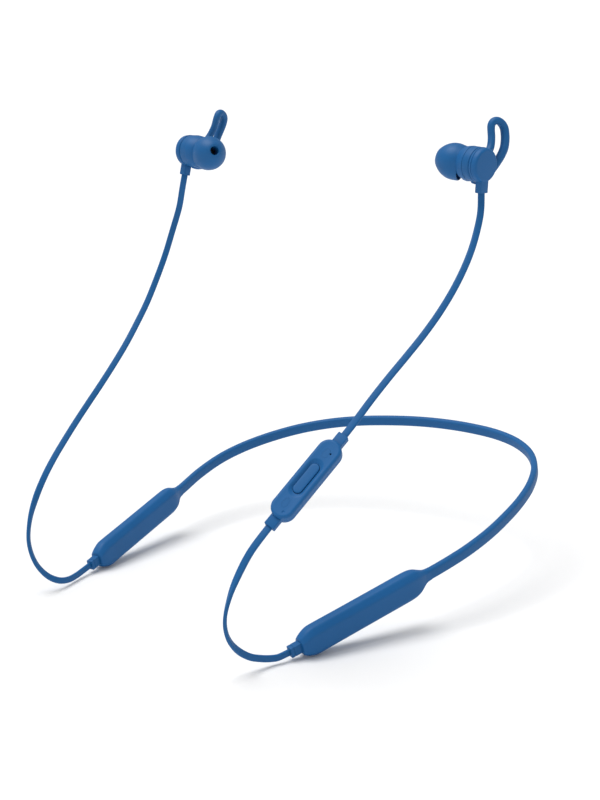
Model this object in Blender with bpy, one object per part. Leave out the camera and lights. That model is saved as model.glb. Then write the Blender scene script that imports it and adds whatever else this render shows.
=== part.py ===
"""Neckband earphones: a sprung neckband with a pod at each end, ear cables, a remote and two earbuds.

The origin is on the band's inner face at the middle of its back, where it rests on the neck.
+Z is up, the wearer faces -Y, and the wearer's left is +X.
Lengths in this file are in millimetres until mesh_object() or cable() writes them in metres.
"""

import math

import bmesh
import bpy
from mathutils import Matrix, Vector

MM = 0.001
GAP = 0.3                      # clearance between touching pieces

# Driving dimensions
BAND_TILT = math.radians(13)   # the band's plane rises towards the neck
NECK_V = 148.7                 # from the pods' front datum back to the neck rest, in the band's plane
BAND_THICK = 2.6
BAND_TALL = 4.4
BAND_BORE = 1.5                # channel for the spring wire
WIRE_DIAMETER = 0.8
WIRE_INSET = 0.5               # the wire stops this far short of the sheath at each flex
WIRE_STATIONS = (43.6, 46.0, 49.0, 52.0)   # where the wire runs inside a pod
POD_LENGTH = 52.0
POD_THICK = 6.6
POD_TALL = 10.5
POD_CAVITY = 2.3                # half the thickness of the hollow in each pod
POD_YAW = math.radians(12.4)   # the pods toe in towards the front
POD_DATUM = (56.6, 0.0)        # a point on each pod's axis, in the band's plane
POD_DATUM_S = 2.5              # how far that point is behind the pod's front end
# how far each pod's axis is under the band's plane, at its front and rear
POD_DROPS = {1: (1.9, -0.7), -1: (1.9, 0.7)}
SLEEVE_LENGTH = 4.2
SLEEVE_WIDE = 3.8
SLEEVE_THICK = 2.8
CABLE_WIDE = 2.4
REMOTE_LENGTH = 31.6
REMOTE_WIDE = 8.2
REMOTE_THICK = 5.6
REMOTE_WALL = 0.9
TIP_RADIUS = 6.4
NOZZLE_RADIUS = 2.5
RING_START = 3.4               # the ear wing's ring sits this far behind the cap face
RING_END = 6.4
RING_RADIUS = 6.3
WING_THICK = 2.6

# The band's centreline: x, the distance back from the pods' datum, and the height over the band's plane
BAND_ROUTE = [
    (67.35, 48.8, 0.7), (68.4, 58.0, 0.5), (69.1, 71.0, 0.2), (68.5, 85.0, 0.0), (66.9, 97.0, 0.0),
    (64.4, 109.0, 0.0), (60.2, 121.5, 0.0), (53.8, 133.0, 0.0), (45.0, 142.2, 0.0), (34.0, 148.2, 0.0),
    (22.0, 150.9, 0.0), (9.0, 151.0, 0.0), (-4.0, 149.4, 0.0), (-17.0, 146.2, 0.0), (-29.5, 141.4, 0.0),
    (-42.0, 135.0, 0.0), (-52.5, 127.2, 0.0), (-61.5, 117.0, 0.0), (-68.0, 105.0, 0.0), (-72.0, 92.5, 0.0),
    (-73.2, 80.0, 0.0), (-71.9, 66.0, -0.4), (-69.0, 54.5, -0.7), (-67.4, 48.8, -0.7),
]
LEFT_FLEX = 6                  # the route points where the arms flex
RIGHT_FLEX = 17

# Ear cables, as points along each one
LEFT_LOWER_ROUTE = [
    (58.0, -162.6, 10.5), (57.8, -164.2, 9.1), (57.5, -165.9, 7.5), (56.7, -169.4, 3.6), (55.8, -173.1, -2.2),
    (54.9, -176.3, -9.0), (53.9, -177.9, -17.2), (52.8, -176.0, -24.2), (52.1, -171.6, -30.2),
    (52.3, -166.0, -34.6), (53.0, -161.6, -36.4), (53.6, -158.0, -37.4), (54.3, -155.2, -37.7),
    (54.7, -153.2, -37.4), (55.1, -151.1, -37.0),
]
LEFT_UPPER_ROUTE = [
    (62.8, -133.2, 35.9), (63.3, -129.6, 39.1), (64.4, -122.0, 46.3), (65.6, -115.6, 52.3),
    (67.0, -108.6, 58.6), (68.1, -101.4, 64.9), (68.6, -94.0, 71.5), (68.3, -86.6, 78.3),
    (67.3, -79.8, 84.9), (65.9, -74.2, 90.8), (64.4, -69.8, 96.4), (63.2, -66.8, 101.2),
    (62.2, -65.2, 104.2), (61.7, -64.6, 106.2), (61.5, -64.4, 108.0),
]
RIGHT_ROUTE = [
    (-55.1, -151.3, -36.9), (-54.2, -154.9, -37.6), (-52.8, -158.9, -38.0), (-51.0, -164.2, -37.8),
    (-50.2, -169.2, -36.4), (-50.8, -173.8, -33.2), (-52.3, -177.4, -27.6), (-53.8, -178.8, -19.8),
    (-54.7, -177.2, -11.4), (-55.2, -173.8, -3.8), (-56.0, -169.0, 3.2), (-57.3, -163.6, 8.8),
    (-58.8, -157.8, 13.8), (-59.9, -151.4, 19.6), (-60.5, -144.8, 25.8), (-61.0, -138.0, 32.2),
    (-62.0, -131.0, 38.6), (-63.6, -123.8, 45.0), (-65.6, -116.8, 51.6), (-67.4, -110.0, 58.8),
    (-68.7, -104.0, 67.0), (-68.9, -98.9, 76.4), (-67.5, -95.8, 86.4), (-64.8, -94.4, 95.6),
    (-62.3, -94.9, 102.2), (-61.1, -95.1, 105.6), (-61.0, -94.5, 108.2),
]

REMOTE_CENTRE = Vector((60.4, -147.9, 23.2))
REMOTE_AXIS = Vector((0.122, 0.75, 0.649))
REMOTE_FACE = Vector((0.46, -0.63, 0.61))

# Each earbud: the middle of its cap face, the way its nozzle points, and its cable sleeve's way down
LEFT_BUD = {
    "cap": Vector((63.6, -64.5, 118.0)), "inward": Vector((-1.0, 0.04, 0.05)), "sleeve_turn": 0.0,
    "tip": Vector((52.4, -63.7, 118.0)), "tip_way": Vector((-0.905, -0.36, 0.225)),
}
RIGHT_BUD = {
    "cap": Vector((-62.8, -92.0, 117.6)), "inward": Vector((1.0, 0.0, 0.02)), "sleeve_turn": -15.0,
    "tip": Vector((-51.7, -90.9, 116.7)), "tip_way": Vector((0.905, -0.36, 0.225)),
}

# The ear wing's loop, from the top of its ring round to the back of it: inward, back and up
WING_ROUTE = [
    (4.9, 4.8, 2.6), (5.1, 6.4, 3.8), (5.4, 7.6, 5.2), (5.9, 8.5, 6.9), (6.6, 9.2, 8.9), (7.2, 9.5, 10.9),
    (7.6, 9.9, 12.6), (7.5, 10.8, 13.8), (7.1, 12.2, 14.1), (6.6, 13.8, 13.3), (6.0, 14.8, 11.8),
    (5.3, 14.8, 9.8), (4.5, 14.2, 7.4), (3.9, 13.2, 4.9), (3.7, 11.8, 2.5), (3.9, 10.2, 0.2),
    (4.5, 8.0, -1.8), (5.0, 5.0, -3.0),
]

BLUE = (0.020, 0.110, 0.330)
SOFT_BLUE = (0.018, 0.100, 0.300)


def clear_scene():
    for item in list(bpy.data.objects):
        bpy.data.objects.remove(item, do_unlink=True)


def make_material(name, colour, roughness, metallic=0.0):
    material = bpy.data.materials.new(name)
    material.use_nodes = True
    shader = material.node_tree.nodes["Principled BSDF"]
    shader.inputs["Base Color"].default_value = (*colour, 1.0)
    shader.inputs["Roughness"].default_value = roughness
    shader.inputs["Metallic"].default_value = metallic
    return material


MATERIAL_KINDS = {
    "housing": (BLUE, 0.5, 0.0),
    "soft": (SOFT_BLUE, 0.6, 0.0),
    "silicone": (SOFT_BLUE, 0.45, 0.0),
    "button": (BLUE, 0.5, 0.0),
    "spring": ((0.62, 0.62, 0.64), 0.35, 1.0),
    "board": ((0.02, 0.12, 0.06), 0.5, 0.0),
    "cell": ((0.45, 0.46, 0.48), 0.4, 0.3),
    "contact": ((0.55, 0.55, 0.56), 0.3, 1.0),
    "screen": ((0.05, 0.05, 0.06), 0.4, 0.9),
    "lens": ((0.8, 0.82, 0.85), 0.2, 0.0),
    "magnet": ((0.3, 0.3, 0.32), 0.3, 0.9),
}


# Mesh helpers

def finish_object(name, mesh, kind):
    for polygon in mesh.polygons:
        polygon.use_smooth = True
    mesh.set_sharp_from_angle(angle=math.radians(35))
    item = bpy.data.objects.new(name, mesh)
    item.data.materials.append(make_material(name + "_material", *MATERIAL_KINDS[kind]))
    bpy.context.scene.collection.objects.link(item)
    return item


def mesh_object(name, bm, kind, place=None):
    """Writes a bmesh in millimetres as an object in metres, at a frame when one is given."""
    bmesh.ops.triangulate(bm, faces=[f for f in bm.faces if len(f.verts) > 4])
    bmesh.ops.recalc_face_normals(bm, faces=bm.faces)
    bmesh.ops.scale(bm, vec=(MM, MM, MM), verts=bm.verts)
    mesh = bpy.data.meshes.new(name)
    bm.to_mesh(mesh)
    bm.free()
    item = finish_object(name, mesh, kind)
    if place is not None:
        item.matrix_world = Matrix.Translation(place.translation * MM) @ place.to_3x3().to_4x4()
    return item


def frame_at(origin, x_axis, z_hint):
    """A right-handed frame with x along one direction and z close to another."""
    x = x_axis.normalized()
    y = z_hint.cross(x).normalized()
    z = x.cross(y)
    frame = Matrix((x, y, z)).transposed().to_4x4()
    frame.translation = origin
    return frame


def oval(half_a, half_b, power, count):
    """A superellipse ring: power 2 is an ellipse, and more is squarer."""
    ring = []
    for k in range(count):
        angle = 2 * math.pi * (k + 0.5) / count
        c = math.cos(angle)
        s = math.sin(angle)
        ring.append((
            half_a * math.copysign(abs(c) ** (2 / power), c),
            half_b * math.copysign(abs(s) ** (2 / power), s),
        ))
    return ring


def skin(bm, rings, close_ends=True):
    """Joins rings of points into a tube, with flat ends unless the tube is one wall of a hollow."""
    rows = [[bm.verts.new(p) for p in ring] for ring in rings]
    count = len(rows[0])
    for low, high in zip(rows, rows[1:]):
        for k in range(count):
            bm.faces.new((low[k], low[(k + 1) % count], high[(k + 1) % count], high[k]))
    if close_ends:
        bm.faces.new(rows[0])
        bm.faces.new(rows[-1])
    return rows


def join_ends(bm, outer, inner):
    """Closes the annulus between an outer ring and an inner one with half as many points."""
    count = len(inner)
    for k in range(count):
        after = (k + 1) % count
        bm.faces.new((outer[2 * k], outer[2 * k + 1], inner[k]))
        bm.faces.new((outer[2 * k + 1], outer[2 * after], inner[after], inner[k]))


def turned(profile, count=24):
    """Turns a closed outline of (along, radius) points about the x axis."""
    bm = bmesh.new()
    rows = []
    for k in range(count):
        angle = 2 * math.pi * k / count
        c = math.cos(angle)
        s = math.sin(angle)
        rows.append([(along, radius * c, radius * s) for along, radius in profile])
    axis_points = {i: bm.verts.new((a, 0, 0)) for i, (a, radius) in enumerate(profile) if radius == 0}
    verts = [
        [axis_points.get(i) or bm.verts.new(p) for i, p in enumerate(row)] for row in rows
    ]
    size = len(profile)
    for k in range(count):
        here = verts[k]
        there = verts[(k + 1) % count]
        for i in range(size):
            j = (i + 1) % size
            corners = []
            for corner in (here[i], here[j], there[j], there[i]):
                if corner not in corners:
                    corners.append(corner)
            if len(corners) > 2:
                bm.faces.new(corners)
    return bm


def disc(low, high, radius, count=16):
    return turned([(low, 0), (low, radius), (high, radius), (high, 0)], count)


def add_box(bm, low, high):
    size = Vector(high) - Vector(low)
    centre = (Vector(high) + Vector(low)) / 2
    matrix = Matrix.Translation(centre) @ Matrix.Diagonal((*size, 1))
    bmesh.ops.create_cube(bm, size=1, matrix=matrix)


def box_object(name, low, high, kind, place, bevel=0.0):
    bm = bmesh.new()
    add_box(bm, low, high)
    if bevel:
        bmesh.ops.bevel(bm, geom=bm.edges[:], offset=bevel, segments=2, affect="EDGES", profile=0.5)
    return mesh_object(name, bm, kind, place)


def cut(item, cutter):
    """Subtracts a cutter, which stays in the file as a hidden guide."""
    cutter.hide_render = True
    cutter.display_type = "WIRE"
    modifier = item.modifiers.new("cut_" + cutter.name, "BOOLEAN")
    modifier.operation = "DIFFERENCE"
    modifier.solver = "EXACT"
    modifier.object = cutter


def smooth_path(points, spacing):
    """A centripetal Catmull-Rom curve through the points, sampled about every spacing."""
    points = [Vector(p) for p in points]
    first = points[0] * 2 - points[1]
    last = points[-1] * 2 - points[-2]
    chain = [first, *points, last]
    curve = []
    for a, b, c, d in zip(chain, chain[1:], chain[2:], chain[3:]):
        steps = max(2, round((c - b).length / 0.5))
        t1 = (b - a).length ** 0.5
        t2 = t1 + (c - b).length ** 0.5
        t3 = t2 + (d - c).length ** 0.5
        for k in range(steps):
            t = t1 + (t2 - t1) * k / steps
            ab = a.lerp(b, t / t1)
            bc = b.lerp(c, (t - t1) / (t2 - t1))
            cd = c.lerp(d, (t - t2) / (t3 - t2))
            abc = ab.lerp(bc, t / t2)
            bcd = bc.lerp(cd, (t - t1) / (t3 - t1))
            curve.append(abc.lerp(bcd, (t - t1) / (t2 - t1)))
    curve.append(points[-1])
    lengths = [0.0]
    for p, q in zip(curve, curve[1:]):
        lengths.append(lengths[-1] + (q - p).length)
    count = max(2, round(lengths[-1] / spacing))
    samples = []
    index = 0
    for k in range(count + 1):
        target = lengths[-1] * k / count
        while index < len(lengths) - 2 and lengths[index + 1] < target:
            index += 1
        part = (target - lengths[index]) / (lengths[index + 1] - lengths[index])
        samples.append(curve[index].lerp(curve[index + 1], part))
    return samples


def cable(name, points):
    """A plain round tube along a cable's route, as wide as the flat cable."""
    samples = smooth_path(points, 1.5 * CABLE_WIDE)
    curve = bpy.data.curves.new(name, "CURVE")
    curve.dimensions = "3D"
    curve.bevel_depth = CABLE_WIDE / 2 * MM
    curve.bevel_resolution = 2
    curve.use_fill_caps = True
    spline = curve.splines.new("POLY")
    spline.points.add(len(samples) - 1)
    for target, point in zip(spline.points, samples):
        target.co = (*(point * MM), 1)
    curve.materials.append(make_material(name + "_material", *MATERIAL_KINDS["soft"]))
    item = bpy.data.objects.new(name, curve)
    bpy.context.scene.collection.objects.link(item)
    return item


# Band

def in_band_plane(u, v, up=0.0):
    """A point given in the band's plane, measured from the neck rest."""
    along = v - NECK_V
    c = math.cos(BAND_TILT)
    s = math.sin(BAND_TILT)
    return Vector((u, along * c - up * s, along * s + up * c))


PLANE_UP = in_band_plane(0, NECK_V, 1)


def swept_rings(samples, section):
    """Places a section (across, up) at each sample, square to the path and upright in the band's plane."""
    rings = []
    for k, point in enumerate(samples):
        ahead = samples[min(k + 1, len(samples) - 1)] - samples[max(k - 1, 0)]
        across = ahead.cross(PLANE_UP).normalized()
        rings.append([point + across * a + PLANE_UP * b for a, b in section])
    return rings


def band_samples():
    route = [in_band_plane(*point) for point in BAND_ROUTE]
    return smooth_path(route, 5.0), route


def nearest(samples, point):
    return min(range(len(samples)), key=lambda k: (samples[k] - point).length)


def trimmed(samples, trim_start, trim_end):
    """Shortens a sampled path by a little at either end."""
    samples = list(samples)
    samples[0] = samples[0] + (samples[1] - samples[0]).normalized() * trim_start
    samples[-1] = samples[-1] + (samples[-2] - samples[-1]).normalized() * trim_end
    return samples


def sheath(name, samples):
    bm = bmesh.new()
    outer = skin(bm, swept_rings(samples, oval(BAND_THICK / 2, BAND_TALL / 2, 2.6, 12)), False)
    inner = skin(bm, swept_rings(samples, oval(BAND_BORE / 2, BAND_BORE / 2, 2, 6)), False)
    join_ends(bm, outer[0], inner[0])
    join_ends(bm, outer[-1], inner[-1])
    mesh_object(name, bm, "soft")


def spring_wire(name, samples):
    bm = bmesh.new()
    skin(bm, swept_rings(samples, oval(WIRE_DIAMETER / 2, WIRE_DIAMETER / 2, 2, 6)))
    mesh_object(name, bm, "spring")


def make_band():
    samples, route = band_samples()
    left = nearest(samples, route[LEFT_FLEX])
    right = nearest(samples, route[RIGHT_FLEX])
    half_gap = 0.2
    pieces = {
        "band_left": trimmed(samples[: left + 1], 0, half_gap),
        "band_back": trimmed(samples[left : right + 1], half_gap, half_gap),
        "band_right": trimmed(samples[right:], half_gap, 0),
    }
    for name, path in pieces.items():
        sheath(name + "_sheath", path)
    # the wire runs on into each pod, where a crimp holds it
    in_left_pod = [pod_frame(1) @ Vector((s, 0, 0)) for s in WIRE_STATIONS]
    in_right_pod = [pod_frame(-1) @ Vector((s, 0, 0)) for s in reversed(WIRE_STATIONS)]
    wires = {
        "band_left": trimmed(in_left_pod + pieces["band_left"][1:], 0, WIRE_INSET),
        "band_back": trimmed(pieces["band_back"], WIRE_INSET, WIRE_INSET),
        "band_right": trimmed(pieces["band_right"][:-1] + in_right_pod, WIRE_INSET, 0),
    }
    for name, path in wires.items():
        spring_wire(name + "_spring_wire", path)


# Pods

def pod_frame(side):
    """Origin at the pod's front end, x back along the pod, y level, z up."""
    heading = Vector((math.sin(POD_YAW) * side, math.cos(POD_YAW)))
    front = Vector((POD_DATUM[0] * side, POD_DATUM[1])) - heading * POD_DATUM_S
    rear = front + heading * POD_LENGTH
    front_drop, rear_drop = POD_DROPS[side]
    origin = in_band_plane(*front, -front_drop)
    return frame_at(origin, in_band_plane(*rear, -rear_drop) - origin, PLANE_UP)


def pod_reach(s):
    """How much of the pod's full section is left at a distance from its front end: thickness, height."""
    front_round = 4.6
    rear_round = 5.2
    front = max(0.0, 1 - s / front_round)
    rear = max(0.0, 1 - (POD_LENGTH - s) / rear_round)
    tall = math.sqrt(1 - (0.88 * front) ** 2.2)
    thick = math.sqrt(1 - (0.72 * front) ** 2.4)
    tall *= 1 - 0.50 * rear ** 1.3
    thick *= 1 - 0.50 * rear ** 1.5
    return thick, tall


POD_STATIONS = [0, 0.5, 1.2, 2.2, 3.4, 4.6, 16, 30, 44, 46.8, 48.3, 49.6, 50.9, 52.0]


def pod_solid(scale_off, stations, half):
    """The pod's form as a solid, shrunk all round, or only its outer or inner half."""
    bm = bmesh.new()
    rings = []
    for s in stations:
        thick, tall = pod_reach(s)
        half_thick = max(POD_THICK / 2 * thick - scale_off, 0.4)
        half_tall = max(POD_TALL / 2 * tall - scale_off, 0.4)
        section = oval(half_thick, half_tall, 3.0, 20)
        if half:
            # the section's points on one side, closed along the parting line
            section = [(y, z) for y, z in section if y * half > 0]
            low = min(section, key=lambda p: p[1])[1]
            high = max(section, key=lambda p: p[1])[1]
            section.sort(key=lambda p: math.atan2(p[1] / half_tall, abs(p[0]) / half_thick))
            parting = GAP / 2 * half
            section = [(parting, low), *section, (parting, high)]
        rings.append([(s, y, z) for y, z in section])
    skin(bm, rings)
    return bm


def inward_sign(place):
    """The sign of the frame's y axis that faces the wearer."""
    toward_middle = -place.translation.x * place.to_3x3().col[1].x
    return 1 if toward_middle > 0 else -1


def make_pod(prefix, side):
    """The pod's two shells, with one hollow and a hole for the spring wire, and what both pods hold."""
    place = pod_frame(side)
    inner = inward_sign(place)
    shells = {}
    for shell, half in (("outer", -inner), ("inner", inner)):
        item = mesh_object(f"{prefix}_pod_{shell}_shell", pod_solid(0, POD_STATIONS, half), "housing", place)
        cavity = box_object(
            f"{prefix}_{shell}_cavity", (3.4, -POD_CAVITY, -3.4), (46.8, POD_CAVITY, 3.4), "housing", place
        )
        cut(item, cavity)
        passage = mesh_object(f"{prefix}_{shell}_wire_passage", disc(46.0, 53.0, 0.8, 8), "housing", place)
        cut(item, passage)
        shells[shell] = item
    crimp = [(43.4, 0.75), (46.4, 0.75), (46.4, 1.7), (43.4, 1.7)]
    mesh_object(f"{prefix}_band_crimp", turned(crimp, 12), "spring", place)
    box_object(f"{prefix}_battery_cell", (5, -1.7, -2.9), (25, 1.7, 2.9), "cell", place, 0.4)
    front_sleeve(f"{prefix}_pod_cable_sleeve", place)
    return place, inner, shells


def front_sleeve(name, place):
    """The moulded strain relief at the pod's front end: a short block with a collar at its mouth."""
    bm = bmesh.new()
    wide = SLEEVE_WIDE / 2
    thick = SLEEVE_THICK / 2
    rings = []
    collar = -SLEEVE_LENGTH + 1.2
    for s, grow in ((-GAP, 0.0), (collar, 0.0), (collar - 0.2, -0.25), (-SLEEVE_LENGTH, -0.35)):
        rings.append([(s, y, z) for y, z in oval(thick + grow, wide + grow, 5, 12)])
    skin(bm, rings)
    mesh_object(name, bm, "soft", place)


def make_left_pod():
    place, inner, shells = make_pod("left", 1)
    low, high = sorted((0.5 * inner, 1.2 * inner))
    box_object("power_board", (27, -0.4, -1.1), (42.6, 0.4, 3.0), "board", place)
    # the charging connector opens on the pod's lower edge
    mouth = box_object("charging_mouth", (32.6, -1.65, -7), (42.0, 1.65, -3.0), "housing", place)
    connector = box_object("charging_connector", (33.0, -1.3, -4.5), (41.6, 1.3, -1.5), "contact", place)
    pocket = box_object("charging_pocket", (33.4, -0.85, -7), (41.2, 0.85, -2.0), "contact", place)
    cut(connector, pocket)
    for shell in shells.values():
        cut(shell, mouth)
    # the power button and its lamp are on the side that faces the wearer
    face = POD_THICK / 2 * inner
    facing = frame_at(place @ Vector((29.6, face, 1.2)), place.to_3x3().col[1] * -inner, PLANE_UP)
    hole = mesh_object("power_hole", disc(-1, 1.6, 2.3), "housing", facing)
    cut(shells["inner"], hole)
    button = [(-0.25, 0), (-0.25, 1.7), (0, 2.0), (1.4, 2.0), (1.4, 0)]
    mesh_object("power_button", turned(button, 16), "button", facing)
    box_object("power_switch", (28.4, low, 0.2), (30.8, high, 2.2), "contact", place)
    lamp = frame_at(place @ Vector((34.6, face, 1.2)), place.to_3x3().col[1] * -inner, PLANE_UP)
    lamp_hole = mesh_object("lamp_hole", disc(-1, 1.6, 0.9, 8), "housing", lamp)
    cut(shells["inner"], lamp_hole)
    mesh_object("status_lens", disc(0.1, 1.5, 0.6, 8), "lens", lamp)
    return facing


def make_right_pod():
    place, inner, _ = make_pod("right", -1)
    box_object("radio_board", (27, -0.4, -3.0), (42.6, 0.4, 3.0), "board", place)
    low, high = sorted((0.7 * inner, 1.7 * inner))
    box_object("radio_chip", (30, low, -1.8), (35, high, 1.8), "contact", place)


# Remote

def remote_frame():
    """Origin at the remote's middle, x up along it, z out of its face."""
    axis = REMOTE_AXIS.normalized()
    face = (REMOTE_FACE - axis * REMOTE_FACE.dot(axis)).normalized()
    return frame_at(REMOTE_CENTRE, axis, face)


def pill(half_length, half_width, steps=6):
    """A stadium outline with the long way along x."""
    straight = half_length - half_width
    points = []
    for centre, start in ((straight, -90), (-straight, 90)):
        for k in range(steps + 1):
            angle = math.radians(start + 180 * k / steps)
            points.append((centre + half_width * math.cos(angle), half_width * math.sin(angle)))
    return points


def pill_body(layers):
    """Stacks stadium outlines: each layer is a height and how far its outline is drawn in."""
    bm = bmesh.new()
    rings = []
    for z, inset in layers:
        outline = pill(REMOTE_LENGTH / 2 - inset, REMOTE_WIDE / 2 - inset)
        rings.append([(x, y, z) for x, y in outline])
    skin(bm, rings)
    return bm


def pill_object(name, half_length, half_width, low, high, kind, place, middle=0.0):
    bm = bmesh.new()
    rings = []
    for z in (low, high):
        rings.append([(x + middle, y, z) for x, y in pill(half_length, half_width)])
    skin(bm, rings)
    return mesh_object(name, bm, kind, place)


def make_remote():
    place = remote_frame()
    half = REMOTE_THICK / 2
    front_form = pill_body([(GAP / 2, 0), (half - 0.9, 0.05), (half, 0.9)])
    back_form = pill_body([(-half, 1.3), (-half + 1.2, 0.1), (-GAP / 2, 0)])
    front = mesh_object("remote_front_cover", front_form, "housing", place)
    back = mesh_object("remote_back_cover", back_form, "housing", place)
    inside_length = REMOTE_LENGTH / 2 - REMOTE_WALL - 1.0
    inside_width = REMOTE_WIDE / 2 - REMOTE_WALL
    floor = -half + REMOTE_WALL
    ceiling = half - REMOTE_WALL
    cavity = pill_object("remote_cavity", inside_length, inside_width, floor, ceiling, "housing", place)
    cut(front, cavity)
    cut(back, cavity)
    # the long centre key sits in a shallow dish
    dish = pill_object("remote_dish", 7.5, 2.6, half - 0.4, half + 1, "housing", place)
    cut(front, dish)
    key_hole = pill_object("centre_key_hole", 6.2, 1.93, half - 2, half + 1, "housing", place)
    cut(front, key_hole)
    pill_object("centre_button", 5.9, 1.63, half - 1.3, half - 0.15, "button", place)
    box_object("centre_switch", (-1.5, -1.2, -0.2), (1.5, 1.2, 0.7), "contact", place)
    for name, middle in (("volume_up", 10.4), ("volume_down", -10.4)):
        hole = pill_object(name + "_hole", 2.0, 1.2, half - 2, half + 1, "housing", place, middle)
        cut(front, hole)
        pill_object(name + "_key", 1.7, 0.9, half - 1.3, half, "button", place, middle)
        box_object(name + "_switch", (middle - 1, -1, -0.2), (middle + 1, 1, 0.7), "contact", place)
    pill_object("remote_board", inside_length - 0.6, inside_width - 0.5, -1.0, -0.5, "board", place)
    box_object("remote_microphone", (10.3, -2.4, -0.2), (11.7, -1.1, 0.6), "contact", place)
    for name, way in (("remote_upper_sleeve", 1), ("remote_lower_sleeve", -1)):
        mouth = place @ Vector((way * REMOTE_LENGTH / 2, 0, 0))
        sleeve = frame_at(mouth, place.to_3x3().col[0] * -way, REMOTE_FACE)
        bm = bmesh.new()
        rings = []
        for s, grow in ((-GAP, 0.0), (-2.9, 0.0), (-3.1, -0.2), (-3.5, -0.3)):
            section = oval(SLEEVE_WIDE / 2 + grow, SLEEVE_THICK / 2 + grow, 5, 12)
            rings.append([(s, y, z) for y, z in section])
        skin(bm, rings)
        mesh_object(name, bm, "soft", sleeve)
    return place


# Earbuds

def bud_frame(bud):
    """Origin at the middle of the cap face, x towards the ear, z up."""
    return frame_at(bud["cap"], bud["inward"], Vector((0, 0, 1)))


def bud_sleeve_frame(bud):
    """Origin at the top of the bud's cable sleeve, x up along the sleeve."""
    place = bud_frame(bud) @ Matrix.Rotation(math.radians(bud["sleeve_turn"]), 4, "X")
    axes = place.to_3x3()
    return frame_at(place @ Vector((1.65, 0, -6.3)), axes.col[2], axes.col[0])


def nozzle_frame(bud):
    """Origin at the middle of the ear tip's rim, x out along the nozzle, z up."""
    return frame_at(bud["tip"], bud["tip_way"], Vector((0, 0, 1)))


CAP_OUTLINE = [(0, 0), (0, 5.1), (0.25, 5.6), (0.8, 6.0), (2.0, 6.0), (2.0, 0)]
# The housing as rings of (along, radius): the barrel and its hollow from the cap face, the nozzle from the
# ear tip's rim, and between them the bend, whose first number is the share of the way round it
BARREL_RINGS = [(2.3, 5.9), (3.1, 5.9), (3.1, 5.0), (6.7, 5.0), (6.7, 5.85)]
BEND_RINGS = [(0.3, 5.85), (0.65, 5.7)]
NOZZLE_RINGS = [
    (-0.9, 5.5), (0.6, NOZZLE_RADIUS), (3.4, NOZZLE_RADIUS), (3.8, 2.8), (4.4, 2.8), (4.8, 2.2), (4.8, 1.7),
    (-0.4, 1.7), (-1.6, 4.0),
]
HOLLOW_RINGS = [(7.0, 4.2), (2.3, 4.2)]
TIP_OUTLINE = [
    (0, 6.05), (1.4, 6.3), (3.0, TIP_RADIUS), (4.9, 6.1), (6.6, 5.4), (8.0, 4.4), (9.0, 3.3), (9.6, 2.4),
    (9.6, 1.75), (5.5, 1.75), (5.2, 3.1), (0.8, 3.1), (0.8, 3.9), (6.0, 3.9), (5.8, 4.6), (4.6, 5.2),
    (3.0, 5.6), (1.4, 5.6), (0, 5.45),
]


def ring_about(place, along, radius, count=24):
    """A ring of points round the x axis of a frame."""
    ring = []
    for k in range(count):
        angle = 2 * math.pi * k / count
        ring.append(place @ Vector((along, radius * math.cos(angle), radius * math.sin(angle))))
    return ring


def bud_housing(name, bud):
    """A hollow barrel behind the cap that bends towards the ear canal and ends in the nozzle."""
    place = bud_frame(bud)
    nozzle = nozzle_frame(bud)
    barrel_end = place @ Vector((BARREL_RINGS[-1][0], 0, 0))
    bend_end = nozzle @ Vector((NOZZLE_RINGS[0][0], 0, 0))
    rings = [ring_about(place, along, radius) for along, radius in BARREL_RINGS]
    for share, radius in BEND_RINGS:
        way = bud["inward"].normalized().lerp(bud["tip_way"].normalized(), share)
        turned_place = frame_at(barrel_end.lerp(bend_end, share), way, Vector((0, 0, 1)))
        rings.append(ring_about(turned_place, 0, radius))
    rings += [ring_about(nozzle, along, radius) for along, radius in NOZZLE_RINGS]
    rings += [ring_about(place, along, radius) for along, radius in HOLLOW_RINGS]
    bm = bmesh.new()
    rows = skin(bm, rings, False)
    first = rows[0]
    last = rows[-1]
    for k in range(len(first)):
        after = (k + 1) % len(first)
        bm.faces.new((last[k], last[after], first[after], first[k]))
    return mesh_object(name, bm, "housing")


def wing_loop(name, place, back):
    """The wing's loop as a tube of silicone, with both ends inside the ring."""
    samples = smooth_path([Vector((x, back * y, z)) for x, y, z in WING_ROUTE], 1.5)
    bm = bmesh.new()
    rings = []
    for k, point in enumerate(samples):
        ahead = (samples[min(k + 1, len(samples) - 1)] - samples[max(k - 1, 0)]).normalized()
        side = ahead.cross(Vector((1, 0, 0))).normalized()
        depth = side.cross(ahead)
        section = oval(WING_THICK / 2, WING_THICK / 2, 2, 10)
        rings.append([point + side * a + depth * b for a, b in section])
    skin(bm, rings)
    return mesh_object(name, bm, "silicone", place)


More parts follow.
